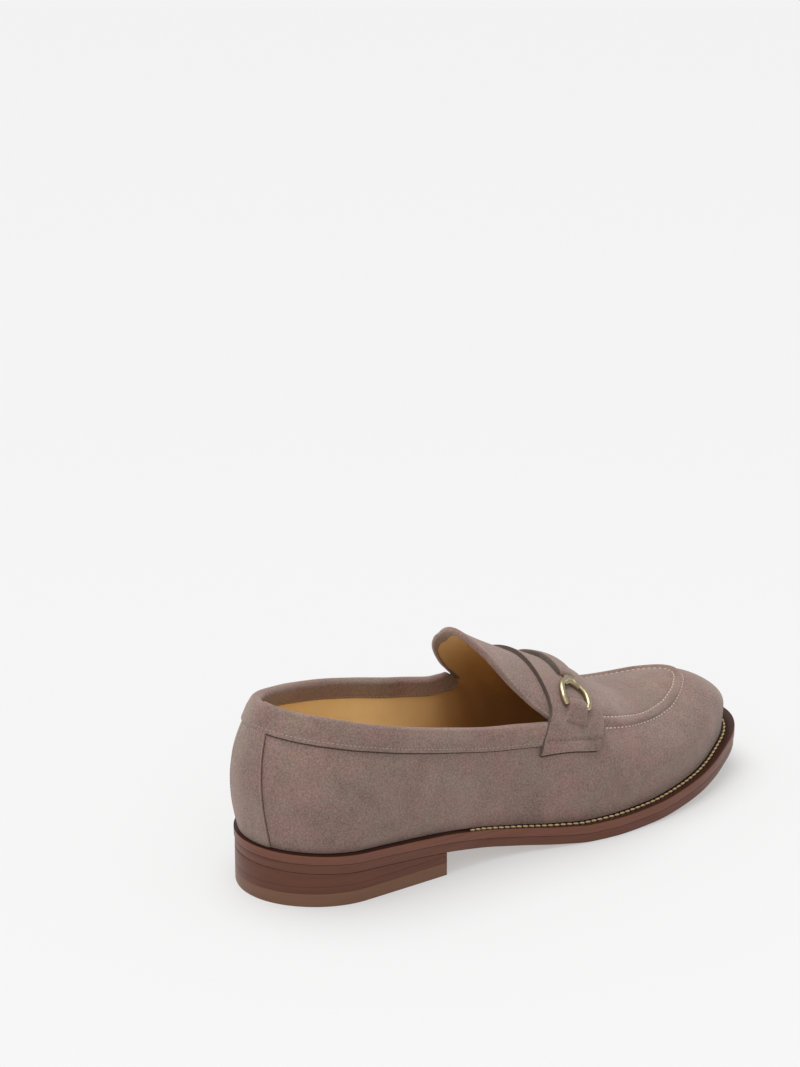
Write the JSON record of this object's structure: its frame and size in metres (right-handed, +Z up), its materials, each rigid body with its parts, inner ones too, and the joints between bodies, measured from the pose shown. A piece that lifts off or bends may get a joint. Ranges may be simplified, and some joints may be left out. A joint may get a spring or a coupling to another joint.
{
  "type": "bit loafer",
  "caption": "Right-foot suede loafer with a round-cornered toe, raised apron, saddle band, metal horse-bit half rings on the instep, flat leather sole and low stacked heel.",
  "frame": {"origin": "centre of the part's footprint box, on the floor under the shoe", "axes": "+X from heel to toe, +Y to the inner side (the big toe's side), +Z up"},
  "size_m": [0.2903, 0.1039, 0.1051],
  "materials": {
    "suede": "matt suede nap, taupe",
    "sole_leather": "waxed leather edge, reddish brown",
    "welt_leather": "waxed leather, dark brown",
    "top_lift_leather": "waxed leather edge, mid brown",
    "insole_leather": "smooth lining leather, tan",
    "ring_metal": "satin"
  },
  "bodies": {
    "root": {"upper": "suede", "collar_band": "suede", "backstay": "suede", "saddle": "suede", "bit_strap": "suede", "tab_outer": "suede", "tab_inner": "suede", "bit_ring_outer": "ring_metal", "bit_ring_inner": "ring_metal", "outsole": "sole_leather", "welt": "welt_leather", "heel_wedge": "sole_leather", "heel_lift": "sole_leather", "top_lift": "top_lift_leather", "insole": "insole_leather"}
  },
  "joints": []
}
